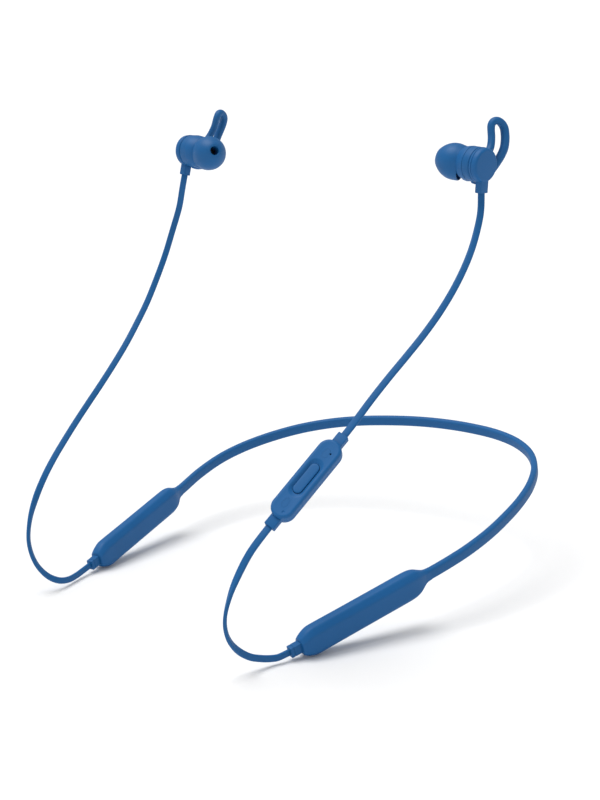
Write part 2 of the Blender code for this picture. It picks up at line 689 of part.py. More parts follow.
def make_bud(prefix, bud):
    place = bud_frame(bud)
    # the frame's y axis faces forwards on one side and back on the other
    back = 1 if place.to_3x3().col[1].y > 0 else -1
    mesh_object(f"{prefix}_bud_cap", turned(CAP_OUTLINE), "housing", place)
    bud_housing(f"{prefix}_bud_housing", bud)
    mesh_object(f"{prefix}_driver", disc(4.4, 6.4, 3.8), "contact", place)
    mesh_object(f"{prefix}_magnet", disc(2.5, 4.0, 2.4), "magnet", place)
    nozzle = nozzle_frame(bud)
    mesh_object(f"{prefix}_nozzle_screen", disc(3.8, 4.2, 1.4), "screen", nozzle)
    mesh_object(f"{prefix}_ear_tip", turned(TIP_OUTLINE), "silicone", nozzle)
    ring = disc(RING_START, RING_END, RING_RADIUS, 24)
    wing = mesh_object(f"{prefix}_ear_wing", ring, "silicone", place)
    loop = wing_loop(f"{prefix}_wing_loop", place, back)
    loop.hide_render = True
    loop.display_type = "WIRE"
    union = wing.modifiers.new("loop", "BOOLEAN")
    union.operation = "UNION"
    union.solver = "EXACT"
    union.object = loop
    bore = mesh_object(f"{prefix}_wing_bore", disc(0, 12, 5.3, 24), "silicone", place)
    cut(wing, bore)
    sleeve = bud_sleeve_frame(bud)
    bm = bmesh.new()
    rings = []
    for s, grow in ((0, 0.0), (-2.6, 0.0), (-2.8, -0.2), (-3.2, -0.3)):
        rings.append([(s, y, z) for y, z in oval(SLEEVE_WIDE / 2 + grow, 1.35 + grow, 5, 12)])
    skin(bm, rings)
    mesh_object(f"{prefix}_bud_cable_sleeve", bm, "soft", sleeve)
    return place, sleeve


def main():
    clear_scene()
    make_band()
    make_left_pod()
    make_right_pod()
    make_remote()
    make_bud("left", LEFT_BUD)
    make_bud("right", RIGHT_BUD)
    cable("left_lower_cable", LEFT_LOWER_ROUTE)
    cable("left_upper_cable", LEFT_UPPER_ROUTE)
    cable("right_cable", RIGHT_ROUTE)


main()
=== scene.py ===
"""Neckband earphones: the visual model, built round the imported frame.

Shapes are written in millimetres in the frame's axes (+Z up, the wearer faces -Y, the wearer's left is +X)
and become metres when a piece is made.
"""

import math

import bmesh
import bpy
from mathutils import Matrix, Vector


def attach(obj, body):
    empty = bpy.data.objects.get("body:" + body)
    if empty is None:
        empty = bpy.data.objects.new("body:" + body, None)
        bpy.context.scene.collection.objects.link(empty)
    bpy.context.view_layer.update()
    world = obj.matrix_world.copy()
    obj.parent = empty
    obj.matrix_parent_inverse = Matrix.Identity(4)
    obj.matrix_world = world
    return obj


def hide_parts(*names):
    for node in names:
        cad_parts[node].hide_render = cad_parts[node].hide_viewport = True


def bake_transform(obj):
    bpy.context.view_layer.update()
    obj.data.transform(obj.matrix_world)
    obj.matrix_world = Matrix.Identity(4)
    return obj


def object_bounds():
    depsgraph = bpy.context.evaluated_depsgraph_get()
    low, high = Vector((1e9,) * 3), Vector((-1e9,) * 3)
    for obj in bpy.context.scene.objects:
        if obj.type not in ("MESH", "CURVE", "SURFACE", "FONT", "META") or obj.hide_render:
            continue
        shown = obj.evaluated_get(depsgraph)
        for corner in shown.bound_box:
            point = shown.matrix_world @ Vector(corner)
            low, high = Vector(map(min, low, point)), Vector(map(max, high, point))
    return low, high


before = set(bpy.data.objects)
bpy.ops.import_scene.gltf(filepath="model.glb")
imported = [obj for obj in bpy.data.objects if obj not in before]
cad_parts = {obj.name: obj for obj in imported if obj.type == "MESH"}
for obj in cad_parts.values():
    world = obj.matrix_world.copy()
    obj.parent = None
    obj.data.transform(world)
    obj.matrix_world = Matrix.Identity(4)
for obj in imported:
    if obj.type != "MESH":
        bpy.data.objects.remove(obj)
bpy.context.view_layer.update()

MM = 0.001

# How finely curves and skins are divided
CURVE_STEP = 0.3
BAND_SPACING = 1.2
POD_SPACING = 0.45
POD_RING_POINTS = 80
CABLE_SPACING = 0.8
TIP_SPACING = 0.25

BAND_TILT = math.radians(13)   # the band's plane rises towards the neck
NECK_V = 148.7                 # from the pods' front datum back to the neck rest, in the band's plane
BAND_THICK = 2.6
BAND_TALL = 4.4
BAND_ROUNDING = 1.05
# The band's centreline: x, the distance back from the pods' datum, and the height over the band's plane
BAND_ROUTE = [
    (67.35, 48.8, 0.7), (68.4, 58.0, 0.5), (69.1, 71.0, 0.2), (68.5, 85.0, 0.0), (66.9, 97.0, 0.0),
    (64.4, 109.0, 0.0), (60.2, 121.5, 0.0), (53.8, 133.0, 0.0), (45.0, 142.2, 0.0), (34.0, 148.2, 0.0),
    (22.0, 150.9, 0.0), (9.0, 151.0, 0.0), (-4.0, 149.4, 0.0), (-17.0, 146.2, 0.0), (-29.5, 141.4, 0.0),
    (-42.0, 135.0, 0.0), (-52.5, 127.2, 0.0), (-61.5, 117.0, 0.0), (-68.0, 105.0, 0.0), (-72.0, 92.5, 0.0),
    (-73.2, 80.0, 0.0), (-71.9, 66.0, -0.4), (-69.0, 54.5, -0.7), (-67.4, 48.8, -0.7),
]

POD_LENGTH = 52.0
POD_THICK = 6.6
POD_TALL = 10.5
POD_YAW = math.radians(12.4)   # the pods toe in towards the front
POD_DATUM = (56.6, 0.0)        # a point on each pod's axis, in the band's plane
POD_DATUM_S = 2.5              # how far that point is behind the pod's front end
# How far each pod's axis is under the band's plane, at its front and rear
POD_DROPS = {1: (1.9, -0.7), -1: (1.9, 0.7)}
# How much of the half height and of the half thickness the bevels take
POD_UPPER_BEVEL = (0.43, 0.54)
POD_LOWER_BEVEL = (0.31, 0.44)
POD_ROUNDING = 0.27            # the corners' radius, a share of the smaller of the two reaches below
POD_ROUNDING_REACHES = (1.25, 1.85)
POD_TAIL_START = 47.0          # from here back the case leans over to the band
# The left pod's socket, power button and lamp lens: places along it, sizes, and (depth, radius) profiles
PORT_PLACE = 37.3
PORT_HALF_SIZE = (4.1, 1.15)
PORT_HEIGHTS = (-7.0, -3.2)
BUTTON_PLACE = 29.6
LENS_PLACE = 34.6
BUTTON_HEIGHT = 1.2
BUTTON_WELL = [(-1, 0), (-1, 2.45), (0.0, 2.45), (0.25, 2.15), (1.9, 2.15), (1.9, 0)]
BUTTON_PROFILE = [(-0.25, 0), (-0.25, 2.0), (1.4, 2.0), (1.4, 0)]
BUTTON_SOFT = [0, 0.35, 0, 0]
LENS_HOLE = [(-1, 0), (-1, 0.7), (1.6, 0.7), (1.6, 0)]

# Strain reliefs: half width, half height, length and, where there is a line, how far it is from the mouth
POD_SLEEVE = (1.4, 1.9, 4.2, 1.3)
REMOTE_SLEEVE = (1.9, 1.4, 3.5)
BUD_SLEEVE_HALF_HEIGHT = 1.4
BUD_SLEEVE_LENGTH = 3.2
BUD_SLEEVE_PLACE = Vector((1.65, 0, -6.3))
SLEEVE_ROOT = 1.2              # each runs this far into what holds it
SLEEVE_ROUNDING = 0.3
# Places along a sleeve, from its line and from its mouth, and how much each half size grows there
SLEEVE_LINE = [(0.14, 0.0), (0.08, -0.13), (-0.08, -0.13), (-0.14, 0.0)]
SLEEVE_MOUTH = [(0.2, 0.0), (0.06, -0.05), (0.0, -0.18)]

CABLE_WIDE = 2.4
CABLE_THICK = 1.25
CABLE_ROUNDING = 0.5
CABLE_SEAT = 1.5               # each end runs this far into its sleeve
# The ear cables' centrelines, from sleeve mouth to sleeve mouth
LEFT_LOWER_ROUTE = [
    (58.0, -162.6, 10.5), (57.8, -164.2, 9.1), (57.5, -165.9, 7.5), (56.7, -169.4, 3.6),
    (55.8, -173.1, -2.2), (54.9, -176.3, -9.0), (53.9, -177.9, -17.2), (52.8, -176.0, -24.2),
    (52.1, -171.6, -30.2), (52.3, -166.0, -34.6), (53.0, -161.6, -36.4), (53.6, -158.0, -37.4),
    (54.3, -155.2, -37.7), (54.7, -153.2, -37.4), (55.1, -151.1, -37.0),
]
LEFT_UPPER_ROUTE = [
    (62.8, -133.2, 35.9), (63.3, -129.6, 39.1), (64.4, -122.0, 46.3), (65.6, -115.6, 52.3),
    (67.0, -108.6, 58.6), (68.1, -101.4, 64.9), (68.6, -94.0, 71.5), (68.3, -86.6, 78.3),
    (67.3, -79.8, 84.9), (65.9, -74.2, 90.8), (64.4, -69.8, 96.4), (63.2, -66.8, 101.2),
    (62.2, -65.2, 104.2), (61.7, -64.6, 106.2), (61.5, -64.4, 108.0),
]
RIGHT_ROUTE = [
    (-55.1, -151.3, -36.9), (-54.2, -154.9, -37.6), (-52.8, -158.9, -38.0), (-51.0, -164.2, -37.8),
    (-50.2, -169.2, -36.4), (-50.8, -173.8, -33.2), (-52.3, -177.4, -27.6), (-53.8, -178.8, -19.8),
    (-54.7, -177.2, -11.4), (-55.2, -173.8, -3.8), (-56.0, -169.0, 3.2), (-57.3, -163.6, 8.8),
    (-58.8, -157.8, 13.8), (-59.9, -151.4, 19.6), (-60.5, -144.8, 25.8), (-61.0, -138.0, 32.2),
    (-62.0, -131.0, 38.6), (-63.6, -123.8, 45.0), (-65.6, -116.8, 51.6), (-67.4, -110.0, 58.8),
    (-68.7, -104.0, 67.0), (-68.9, -98.9, 76.4), (-67.5, -95.8, 86.4), (-64.8, -94.4, 95.6),
    (-62.3, -94.9, 102.2), (-61.1, -95.1, 105.6), (-61.0, -94.5, 108.2),
]

REMOTE_LENGTH = 31.6
REMOTE_WIDE = 8.2
REMOTE_THICK = 5.6
REMOTE_CENTRE = Vector((60.4, -147.9, 23.2))
REMOTE_AXIS = Vector((0.122, 0.75, 0.649))     # up the cable
REMOTE_FACE = Vector((0.46, -0.63, 0.61))      # the way the keys face
# Half length and half width of the keys and of the volume keys' holes
CENTRE_KEY = (5.9, 1.63)
VOLUME_KEY = (1.725, 0.925)
VOLUME_HOLE = (1.74, 0.94)
VOLUME_KEY_PLACE = 10.4
KEY_GAP = 0.12                 # round the centre key
KEY_ROOT = 1.3                 # the keys reach this far below the face
WELL_DEPTH = 1.8
SPOT_SIDE = -1.32              # the two small holes are this far off the middle line

# Each earbud: the middle of its cap face and the way the barrel points, how far its cable sleeve is turned
# about that axis in degrees, the middle of the ear tip's rim and the way the tip points, and the sleeve's
# half width
BUDS = {
    "left": {
        "cap": Vector((63.6, -64.5, 118.0)), "inward": Vector((-1.0, 0.04, 0.05)), "sleeve_turn": 0.0,
        "tip": Vector((52.4, -63.7, 118.0)), "tip_way": Vector((-0.905, -0.36, 0.225)), "sleeve_half": 1.9,
    },
    "right": {
        "cap": Vector((-62.8, -92.0, 117.6)), "inward": Vector((1.0, 0.0, 0.02)), "sleeve_turn": -15.0,
        "tip": Vector((-51.7, -90.9, 116.7)), "tip_way": Vector((0.905, -0.36, 0.225)), "sleeve_half": 1.6,
    },
}
# The ear wing's loop and its tail round the ring: inward, back, up, and the tube's half width
WING_ROUTE = [
    (4.9, 3.6, 1.6, 1.35), (4.95, 4.9, 2.7, 1.35), (5.1, 6.4, 3.9, 1.32), (5.4, 7.6, 5.2, 1.28),
    (5.9, 8.5, 6.9, 1.25), (6.6, 9.2, 8.9, 1.25), (7.2, 9.5, 10.9, 1.25), (7.6, 9.9, 12.6, 1.3),
    (7.5, 10.8, 13.8, 1.32), (7.1, 12.2, 14.1, 1.35), (6.6, 13.8, 13.3, 1.4), (6.0, 14.8, 11.8, 1.45),
    (5.3, 14.8, 9.8, 1.45), (4.5, 14.2, 7.4, 1.45), (3.9, 13.2, 4.9, 1.45), (3.9, 11.9, 2.5, 1.45),
    (4.2, 10.3, 0.2, 1.45), (4.6, 8.7, -2.0, 1.4), (4.9, 7.1, -3.8, 1.3), (5.0, 5.4, -5.3, 1.2),
    (5.0, 3.2, -6.2, 1.0), (5.0, 1.0, -6.4, 0.75), (5.0, -1.5, -6.1, 0.4),
]

# Viewpoint
CAMERA_PLACE = Vector((0.36259, -0.44917, 0.16095))
CAMERA_AZIMUTH = math.radians(45.387)
CAMERA_ELEVATION = math.radians(14.581)
CAMERA_LENS = 63


# Materials

DRIFT_SCALE = 55
DARKEST = 0.93
LIGHTEST = 1.07
GRAIN_HEIGHT = 0.00003


def soft_material(name, base, roughness, grain, bump, coat=0.0):
    """Moulded colour with a fine grain, a slow drift of shade and an uneven gloss."""
    material = bpy.data.materials.new(name)
    material.use_nodes = True
    tree = material.node_tree
    shader = tree.nodes["Principled BSDF"]
    where = tree.nodes.new("ShaderNodeTexCoord")
    drift = tree.nodes.new("ShaderNodeTexNoise")
    drift.inputs["Scale"].default_value = DRIFT_SCALE
    drift.inputs["Detail"].default_value = 3
    shade = tree.nodes.new("ShaderNodeMix")
    shade.data_type = "RGBA"
    shade.inputs["A"].default_value = (*[c * DARKEST for c in base], 1)
    shade.inputs["B"].default_value = (*[c * LIGHTEST for c in base], 1)
    fine = tree.nodes.new("ShaderNodeTexNoise")
    fine.inputs["Scale"].default_value = grain
    fine.inputs["Detail"].default_value = 4
    fine.inputs["Roughness"].default_value = 0.6
    gloss = tree.nodes.new("ShaderNodeMapRange")
    gloss.inputs["To Min"].default_value = roughness - 0.05
    gloss.inputs["To Max"].default_value = roughness + 0.07
    relief = tree.nodes.new("ShaderNodeBump")
    relief.inputs["Strength"].default_value = bump
    relief.inputs["Distance"].default_value = GRAIN_HEIGHT
    links = tree.links
    links.new(where.outputs["Object"], drift.inputs["Vector"])
    links.new(where.outputs["Object"], fine.inputs["Vector"])
    links.new(drift.outputs["Fac"], shade.inputs["Factor"])
    links.new(shade.outputs["Result"], shader.inputs["Base Color"])
    links.new(fine.outputs["Fac"], gloss.inputs["Value"])
    links.new(gloss.outputs["Result"], shader.inputs["Roughness"])
    links.new(fine.outputs["Fac"], relief.inputs["Height"])
    links.new(relief.outputs["Normal"], shader.inputs["Normal"])
    shader.inputs["Specular IOR Level"].default_value = 0.3
    shader.inputs["Coat Weight"].default_value = coat
    shader.inputs["Coat Roughness"].default_value = 0.35
    return material


def metal_material(name, base, roughness, grain):
    material = soft_material(name, base, roughness, grain, 0.3)
    material.node_tree.nodes["Principled BSDF"].inputs["Metallic"].default_value = 1.0
    return material


BLUE = (0.0025, 0.096, 0.285)
MATERIALS = {
    "case": soft_material("case_blue", BLUE, 0.52, 5200, 0.25),
    "cover": soft_material("cover_blue", (0.0025, 0.092, 0.272), 0.55, 4200, 0.30),
    "silicone": soft_material("silicone_blue", (0.0025, 0.093, 0.272), 0.50, 2600, 0.12),
    "key": soft_material("key_blue", (0.0025, 0.094, 0.278), 0.52, 5200, 0.25),
    "steel": metal_material("spring_steel", (0.60, 0.60, 0.62), 0.32, 3000),
    "contact": metal_material("plated_contact", (0.62, 0.56, 0.42), 0.28, 3000),
    "cell": metal_material("cell_foil", (0.60, 0.61, 0.63), 0.38, 1500),
    "board": soft_material("solder_mask", (0.015, 0.095, 0.045), 0.38, 2500, 0.3, 0.3),
    "chip": soft_material("chip_resin", (0.012, 0.012, 0.013), 0.45, 3000, 0.3),
    "magnet": metal_material("magnet_nickel", (0.45, 0.45, 0.46), 0.25, 2500),
    "screen": soft_material("screen_mesh", (0.004, 0.006, 0.010), 0.55, 2200, 0.9),
    "lens": soft_material("lamp_lens", (0.62, 0.66, 0.70), 0.25, 2500, 0.1),
}
CAD_FINISHES = {
    "spring_wire": "steel", "band_crimp": "steel", "battery_cell": "cell", "board": "board",
    "switch": "contact", "charging_connector": "contact", "radio_chip": "chip", "microphone": "contact",
    "driver": "contact", "magnet": "magnet", "nozzle_screen": "screen", "status_lens": "lens",
}


def finish_cad_nodes():
    """Gives the CAD nodes that are kept, in view or inside, finishes of their own."""
    for name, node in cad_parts.items():
        for ending, kind in CAD_FINISHES.items():
            if name.endswith(ending):
                node.data.materials.clear()
                node.data.materials.append(MATERIALS[kind])


# Mesh helpers

def frame_at(origin, x_axis, z_hint):
    """A right-handed frame with its x along x_axis and its z as near z_hint as can be."""
    x = x_axis.normalized()
    y = z_hint.cross(x).normalized()
    z = x.cross(y)
    place = Matrix((x, y, z)).transposed().to_4x4()
    place.translation = origin
    return place


def smooth_path(points, spacing):
    """A centripetal Catmull-Rom curve through points of any size, sampled about every spacing."""
    points = [Vector(p) for p in points]
    chain = [points[0] * 2 - points[1], *points, points[-1] * 2 - points[-2]]
    curve = []
    for a, b, c, d in zip(chain, chain[1:], chain[2:], chain[3:]):
        steps = max(2, round((c - b).length / CURVE_STEP))
        t1 = (b - a).length ** 0.5
        t2 = t1 + (c - b).length ** 0.5
        t3 = t2 + (d - c).length ** 0.5
        for k in range(steps):
            t = t1 + (t2 - t1) * k / steps
            ab = a.lerp(b, t / t1)
            bc = b.lerp(c, (t - t1) / (t2 - t1))
            cd = c.lerp(d, (t - t2) / (t3 - t2))
            abc = ab.lerp(bc, t / t2)
            bcd = bc.lerp(cd, (t - t1) / (t3 - t1))
            curve.append(abc.lerp(bcd, (t - t1) / (t2 - t1)))
    curve.append(points[-1])
    lengths = [0.0]
    for p, q in zip(curve, curve[1:]):
        lengths.append(lengths[-1] + (q - p).length)
    count = max(2, round(lengths[-1] / spacing))
    samples = []
    index = 0
    for k in range(count + 1):
        target = lengths[-1] * k / count
        while index < len(lengths) - 2 and lengths[index + 1] < target:
            index += 1
        part = (target - lengths[index]) / (lengths[index + 1] - lengths[index])
        samples.append(curve[index].lerp(curve[index + 1], part))
    return samples


def rounded_polygon(corners, radius, steps=6):
    """A closed outline with each corner turned into an arc."""
    points = []
    size = len(corners)
    for k in range(size):
        here = Vector(corners[k])
        before = (Vector(corners[k - 1]) - here).normalized()
        after = (Vector(corners[(k + 1) % size]) - here).normalized()
        half = before.angle(after) / 2
        back = radius / math.tan(half)
        start = here + before * back
        centre = here + (before + after).normalized() * (radius / math.sin(half))
        sweep = math.pi - 2 * half
        spoke = start - centre
        turn = 1 if before.x * after.y - before.y * after.x < 0 else -1
        for i in range(steps + 1):
            angle = turn * sweep * i / steps
            c = math.cos(angle)
            s = math.sin(angle)
            points.append(centre + Vector((spoke.x * c - spoke.y * s, spoke.x * s + spoke.y * c)))
    return [(p.x, p.y) for p in points]


def rounded_box(half_a, half_b, radius, steps):
    corners = [(half_a, half_b), (-half_a, half_b), (-half_a, -half_b), (half_a, -half_b)]
    return rounded_polygon(corners, radius, steps)


def even_outline(outline, count):
    """The same closed outline with evenly spaced points."""
    ring = [Vector(p) for p in outline]
    ring.append(ring[0])
    lengths = [0.0]
    for a, b in zip(ring, ring[1:]):
        lengths.append(lengths[-1] + (b - a).length)
    points = []
    index = 0
    for k in range(count):
        target = lengths[-1] * k / count
        while lengths[index + 1] < target:
            index += 1
        part = (target - lengths[index]) / max(lengths[index + 1] - lengths[index], 1e-9)
        points.append(tuple(ring[index].lerp(ring[index + 1], part)))
    return points


def skin_rings(rings, cap_start=True, cap_end=True):
    """Joins rings of equally many points into one skin, closed at either end."""
    bm = bmesh.new()
    rows = [[bm.verts.new(p) for p in ring] for ring in rings]
    count = len(rows[0])
    for low, high in zip(rows, rows[1:]):
        for k in range(count):
            bm.faces.new((low[k], low[(k + 1) % count], high[(k + 1) % count], high[k]))
    if cap_start:
        bm.faces.new(rows[0])
    if cap_end:
        bm.faces.new(rows[-1])
    return bm


def lathe(profile, count=96):
    """Turns a closed outline of (along, radius) points about the x axis."""
    bm = bmesh.new()
    axis_points = {i: bm.verts.new((a, 0, 0)) for i, (a, r) in enumerate(profile) if r == 0}
    rows = []
    for k in range(count):
        angle = 2 * math.pi * k / count
        c = math.cos(angle)
        s = math.sin(angle)
        row = []
        for i, (a, r) in enumerate(profile):
            row.append(axis_points.get(i) or bm.verts.new((a, r * c, r * s)))
        rows.append(row)
    size = len(profile)
    for k in range(count):
        here = rows[k]
        there = rows[(k + 1) % count]
        for i in range(size):
            j = (i + 1) % size
            corners = []
            for corner in (here[i], here[j], there[j], there[i]):
                if corner not in corners:
                    corners.append(corner)
            if len(corners) > 2:
                bm.faces.new(corners)
    return bm


def softened(profile, radii, steps=5):
    """Rounds the corners of an outline by a radius for each; 0 leaves a corner as it is."""
    points = []
    size = len(profile)
    for k in range(size):
        here = Vector(profile[k])
        if radii[k] == 0:
            points.append(tuple(here))
            continue
        before = Vector(profile[k - 1]) - here
        after = Vector(profile[(k + 1) % size]) - here
        reach = min(radii[k], before.length * 0.45, after.length * 0.45)
        start = here + before.normalized() * reach
        end = here + after.normalized() * reach
        for i in range(steps + 1):
            t = i / steps
            points.append(tuple(start * (1 - t) ** 2 + here * (2 * t * (1 - t)) + end * t ** 2))
    return points


def raw_object(name, bm):
    """An object in millimetres at the frame's origin, for modifiers to work on."""
    bmesh.ops.recalc_face_normals(bm, faces=bm.faces)
    mesh = bpy.data.meshes.new(name)
    bm.to_mesh(mesh)
    bm.free()
    item = bpy.data.objects.new(name, mesh)
    bpy.context.scene.collection.objects.link(item)
    return item


def baked(item):
    """Applies an object's modifiers to its mesh."""
    graph = bpy.context.evaluated_depsgraph_get()
    mesh = bpy.data.meshes.new_from_object(item.evaluated_get(graph))
    old = item.data
    item.modifiers.clear()
    item.data = mesh
    bpy.data.meshes.remove(old)
    return item


def combine(item, other, operation):
    """One exact Boolean, after which the other object is gone."""
    modifier = item.modifiers.new("combine", "BOOLEAN")
    modifier.operation = operation
    modifier.solver = "EXACT"
    modifier.object = other
    baked(item)
    bpy.data.objects.remove(other, do_unlink=True)
    return item


def piece(item, body, kind, replaced=(), place=None, angle=35):
    """Turns a millimetre object into a finished piece that rides on a body."""
    change = Matrix.Scale(MM, 4)
    if place is not None:
        change = change @ place
    item.data.transform(change)
    if change.determinant() < 0:
        item.data.flip_normals()
    item.data.materials.clear()
    item.data.materials.append(MATERIALS[kind])
    for polygon in item.data.polygons:
        polygon.use_smooth = True
        polygon.material_index = 0
    item.data.set_sharp_from_angle(angle=math.radians(angle))
    if body:
        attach(item, body)
    if replaced:
        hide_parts(*replaced)
    return item


def ribbon(samples, wides, section, scales=None):
    """Sweeps a section (along the wide way, through it) down a path. wides are (share of path, wide way),
    and scales grow or shrink the section at each sample."""
    rings = []
    last = len(samples) - 1
    for k, point in enumerate(samples):
        ahead = (samples[min(k + 1, last)] - samples[max(k - 1, 0)]).normalized()
        share = k / last
        low = max((w for w in wides if w[0] <= share), key=lambda w: w[0])
        high = min((w for w in wides if w[0] >= share), key=lambda w: w[0])
        part = 0 if high[0] == low[0] else (share - low[0]) / (high[0] - low[0])
        part = part * part * (3 - 2 * part)
        wide = Vector(low[1]).lerp(Vector(high[1]), part)
        wide = (wide - ahead * wide.dot(ahead)).normalized()
        through = ahead.cross(wide)
        grow = 1 if scales is None else scales[k]
        rings.append([point + (wide * a + through * b) * grow for a, b in section])
    return skin_rings(rings)


# Camera, then the cords

def make_camera():
    camera = bpy.data.objects.new("camera", bpy.data.cameras.new("camera"))
    bpy.context.scene.collection.objects.link(camera)
    back = Vector((
        math.sin(CAMERA_AZIMUTH) * math.cos(CAMERA_ELEVATION),
        -math.cos(CAMERA_AZIMUTH) * math.cos(CAMERA_ELEVATION),
        math.sin(CAMERA_ELEVATION),
    ))
    camera.location = CAMERA_PLACE
    camera.rotation_mode = "QUATERNION"
    camera.rotation_quaternion = back.to_track_quat("Z", "Y")
    camera.data.lens = CAMERA_LENS
    camera.data.sensor_width = 36
    camera.data.clip_start = 0.01
    camera.data.clip_end = 20
    bpy.context.scene.camera = camera


def cable(name, route, wides, body):
    """A flat ear cable from sleeve to sleeve, with softly rounded edges."""
    samples = smooth_path(route, CABLE_SPACING)
    section = rounded_box(CABLE_WIDE / 2, CABLE_THICK / 2, CABLE_ROUNDING, 4)
    first = samples[0] + (samples[0] - samples[1]).normalized() * CABLE_SEAT
    last = samples[-1] + (samples[-1] - samples[-2]).normalized() * CABLE_SEAT
    item = raw_object("flat_" + name, ribbon([first, *samples, last], wides, section))
    piece(item, body, "cover", [name])


# Frames of the pods, the remote and the buds, as in the CAD

def in_band_plane(u, v, up=0.0):
    along = v - NECK_V
    c = math.cos(BAND_TILT)
    s = math.sin(BAND_TILT)
    return Vector((u, along * c - up * s, along * s + up * c))


PLANE_UP = in_band_plane(0, NECK_V, 1)


def pod_frame(side):
    """Origin at the pod's front end, x back along the pod, z up."""
    heading = Vector((math.sin(POD_YAW) * side, math.cos(POD_YAW)))
    front = Vector((POD_DATUM[0] * side, POD_DATUM[1])) - heading * POD_DATUM_S
    rear = front + heading * POD_LENGTH
    front_drop, rear_drop = POD_DROPS[side]
    origin = in_band_plane(*front, -front_drop)
    return frame_at(origin, in_band_plane(*rear, -rear_drop) - origin, PLANE_UP)


def remote_frame():
    axis = REMOTE_AXIS.normalized()
    face = (REMOTE_FACE - axis * REMOTE_FACE.dot(axis)).normalized()
    return frame_at(REMOTE_CENTRE, axis, face)


def bud_frame(bud):
    return frame_at(bud["cap"], bud["inward"], Vector((0, 0, 1)))


def bud_sleeve_frame(bud):
    place = bud_frame(bud) @ Matrix.Rotation(math.radians(bud["sleeve_turn"]), 4, "X")
    axes = place.to_3x3()
    return frame_at(place @ BUD_SLEEVE_PLACE, axes.col[2], axes.col[0])


def make_cables():
    """Each cable with the way its flat side turns, at shares of its length."""
    across = remote_frame().to_3x3().col[1]
    pod_up = pod_frame(1).to_3x3().col[2]
    cable(
        "left_lower_cable", LEFT_LOWER_ROUTE,
        [(0, across), (0.15, across), (0.46, (-0.71, 0.70, 0.05)), (0.8, pod_up), (1, pod_up)], "left_arm",
    )
    cable(
        "left_upper_cable", LEFT_UPPER_ROUTE,
        [(0, across), (0.25, across), (0.75, (-0.65, -0.75, 0.1)), (1, (-0.6, -0.8, 0))], "left_arm",
    )
    right_up = pod_frame(-1).to_3x3().col[2]
    cable(
        "right_cable", RIGHT_ROUTE,
        [
            (0, right_up), (0.03, right_up), (0.2, (-0.68, 0.70, 0)), (0.34, (0.64, 0.51, -0.38)),
            (0.75, (0.62, 0.76, -0.15)), (1, (0.6, 0.8, 0)),
        ],
        "right_arm",
    )


# Band

def band_half(side):
    """One half of the band, from the middle of its back into the pod. At the middle both halves have the
    same ring, so that they meet without a step."""
    route = [in_band_plane(*point) for point in BAND_ROUTE]
    samples = smooth_path(route, BAND_SPACING)
    middle = min(range(len(samples)), key=lambda k: abs(samples[k].x))
    shift = Vector((-samples[middle].x, 0, 0))
    samples[middle] = samples[middle] + shift
    half = samples[: middle + 1] if side == 1 else samples[middle:]
    seam_way = (samples[middle + 1] - samples[middle - 1]).normalized()
    section = rounded_box(BAND_THICK / 2, BAND_TALL / 2, BAND_ROUNDING, 6)
    last = len(half) - 1
    rings = []
    for k, point in enumerate(half):
        ahead = (half[min(k + 1, last)] - half[max(k - 1, 0)]).normalized()
        if (side == 1 and k == last) or (side == -1 and k == 0):
            ahead = seam_way
        across = ahead.cross(PLANE_UP).normalized()
        rings.append([point + across * a + PLANE_UP * b for a, b in section])
    name = "left" if side == 1 else "right"
    item = raw_object(f"band_{name}_half", skin_rings(rings))
    piece(item, None, "cover", [f"band_{name}_sheath", "band_back_sheath"])
    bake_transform(item)


# Pods

# The pod's ends: distance along it, then the shares of its height and thickness there
POD_FRONT = [
    (0.0, 0.50, 0.66), (0.12, 0.545, 0.73), (0.4, 0.60, 0.79), (0.9, 0.675, 0.85), (1.6, 0.765, 0.905),
    (2.4, 0.85, 0.945), (3.3, 0.925, 0.975), (4.2, 0.975, 0.992), (5.2, 1.0, 1.0),
]
POD_MIDDLE = [(16.0, 1.0, 1.0), (30.0, 1.0, 1.0)]
POD_REAR = [
    (44.6, 1.0, 1.0), (46.0, 0.99, 0.99), (47.2, 0.965, 0.97), (48.3, 0.92, 0.93), (49.3, 0.855, 0.87),
    (50.2, 0.77, 0.79), (51.0, 0.68, 0.70), (51.8, 0.595, 0.60), (52.6, 0.525, 0.515), (53.5, 0.475, 0.455),
    (54.6, 0.448, 0.425), (55.6, 0.44, 0.415),
]
SHARE_SCALE = 10               # the shares are splined as lengths of this size


